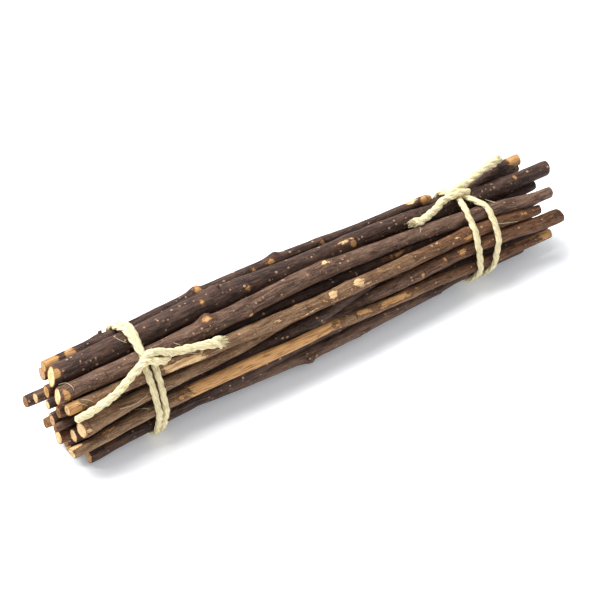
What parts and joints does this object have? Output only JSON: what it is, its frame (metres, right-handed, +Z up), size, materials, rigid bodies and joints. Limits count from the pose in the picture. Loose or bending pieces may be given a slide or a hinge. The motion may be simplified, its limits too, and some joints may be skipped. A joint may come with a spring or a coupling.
{
  "type": "bundle of twigs",
  "caption": "Bundle of cut fruit-tree twigs lying on its side, tied with sisal twine near each end, the ties knotted with loose tails.",
  "frame": {"origin": "middle of the bundle's box in plan, at the floor it lies on", "axes": "+X along the bundle towards its narrower tied end, +Z up, -Y the side the first tie's knot is on"},
  "size_m": [0.2046, 0.035, 0.0372],
  "materials": {
    "bark": "rough",
    "peeled_wood": "matte",
    "twine": "matte"
  },
  "bodies": {
    "root": {"twig_thick_front": "bark", "twig_front_upper": "bark", "twig_front_lower": "bark", "twig_top_back": "bark", "twig_slim_dark": "bark", "twig_front_left": "bark", "twig_front_right": "bark", "twig_peeled": "peeled_wood", "twig_low_left": "bark", "twig_low_right": "bark", "twig_top_right": "bark", "twig_top_under": "bark", "twig_long_left": "bark", "twig_core_high": "bark", "twig_under_thick": "bark", "twig_core_front": "bark", "twig_core_middle": "bark", "twig_core_back": "bark", "twig_core_low": "bark", "twig_pair_left": "bark", "twig_low_core": "bark", "twig_floor_front": "bark", "twig_floor_middle": "bark", "twig_floor_back": "bark", "twig_back_low": "bark", "twig_back_middle": "bark", "twine_tie_left": "twine", "twine_tie_right": "twine"}
  },
  "joints": []
}
